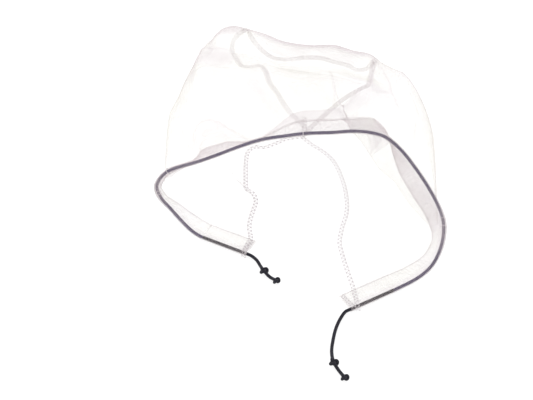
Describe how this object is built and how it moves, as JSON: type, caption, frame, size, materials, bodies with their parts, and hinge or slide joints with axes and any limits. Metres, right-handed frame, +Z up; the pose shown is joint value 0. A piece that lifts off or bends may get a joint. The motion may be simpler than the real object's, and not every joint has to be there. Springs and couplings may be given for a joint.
{
  "type": "netting hood",
  "caption": "Sheer netting hood of a bee suit lying on its back, with an elastic drawcord in a folded casing round the face opening.",
  "frame": {"origin": "bottom centre of the hood without its free cord ends, on the table it lies on", "axes": "+Z up, -Y out of the face opening, +X to the right when looking along +Y"},
  "size_m": [0.27, 0.4469, 0.0887],
  "materials": {
    "netting": "sheer fine tulle netting",
    "casing": "two layers of fine tulle netting",
    "thread": "white polyester overlock thread",
    "cord": "matt braided elastic"
  },
  "bodies": {
    "hood": {"left_casing": "casing", "right_casing": "casing", "left_hem_stitching": "thread", "right_hem_stitching": "thread", "forehead_tack": "thread", "left_bar_tack": "thread", "right_bar_tack": "thread", "drawcord": "cord", "left_upper_panel": "netting", "right_upper_panel": "netting", "upper_centre_seam": "thread", "left_lower_panel": "netting", "right_lower_panel": "netting", "lower_centre_seam": "thread", "left_neck_overlock": "thread", "right_neck_overlock": "thread"},
    "left_cord_end": {"left_cord_tail": "cord", "left_stop_knot": "cord", "left_cord_tag": "cord", "left_end_knot": "cord"},
    "right_cord_end": {"right_cord_tail": "cord", "right_stop_knot": "cord", "right_cord_tag": "cord", "right_end_knot": "cord"}
  },
  "joints": [
    {"name": "left_end_pull", "type": "slide", "parent": "hood", "child": "left_cord_end", "axis": [0.8903, -0.4554, 0], "range_m": [0, 0.04], "stiffness_N_per_m": 15},
    {"name": "right_end_pull", "type": "slide", "parent": "hood", "child": "right_cord_end", "axis": [-0.8713, -0.4907, 0], "range_m": [0, 0.04], "stiffness_N_per_m": 15}
  ]
}
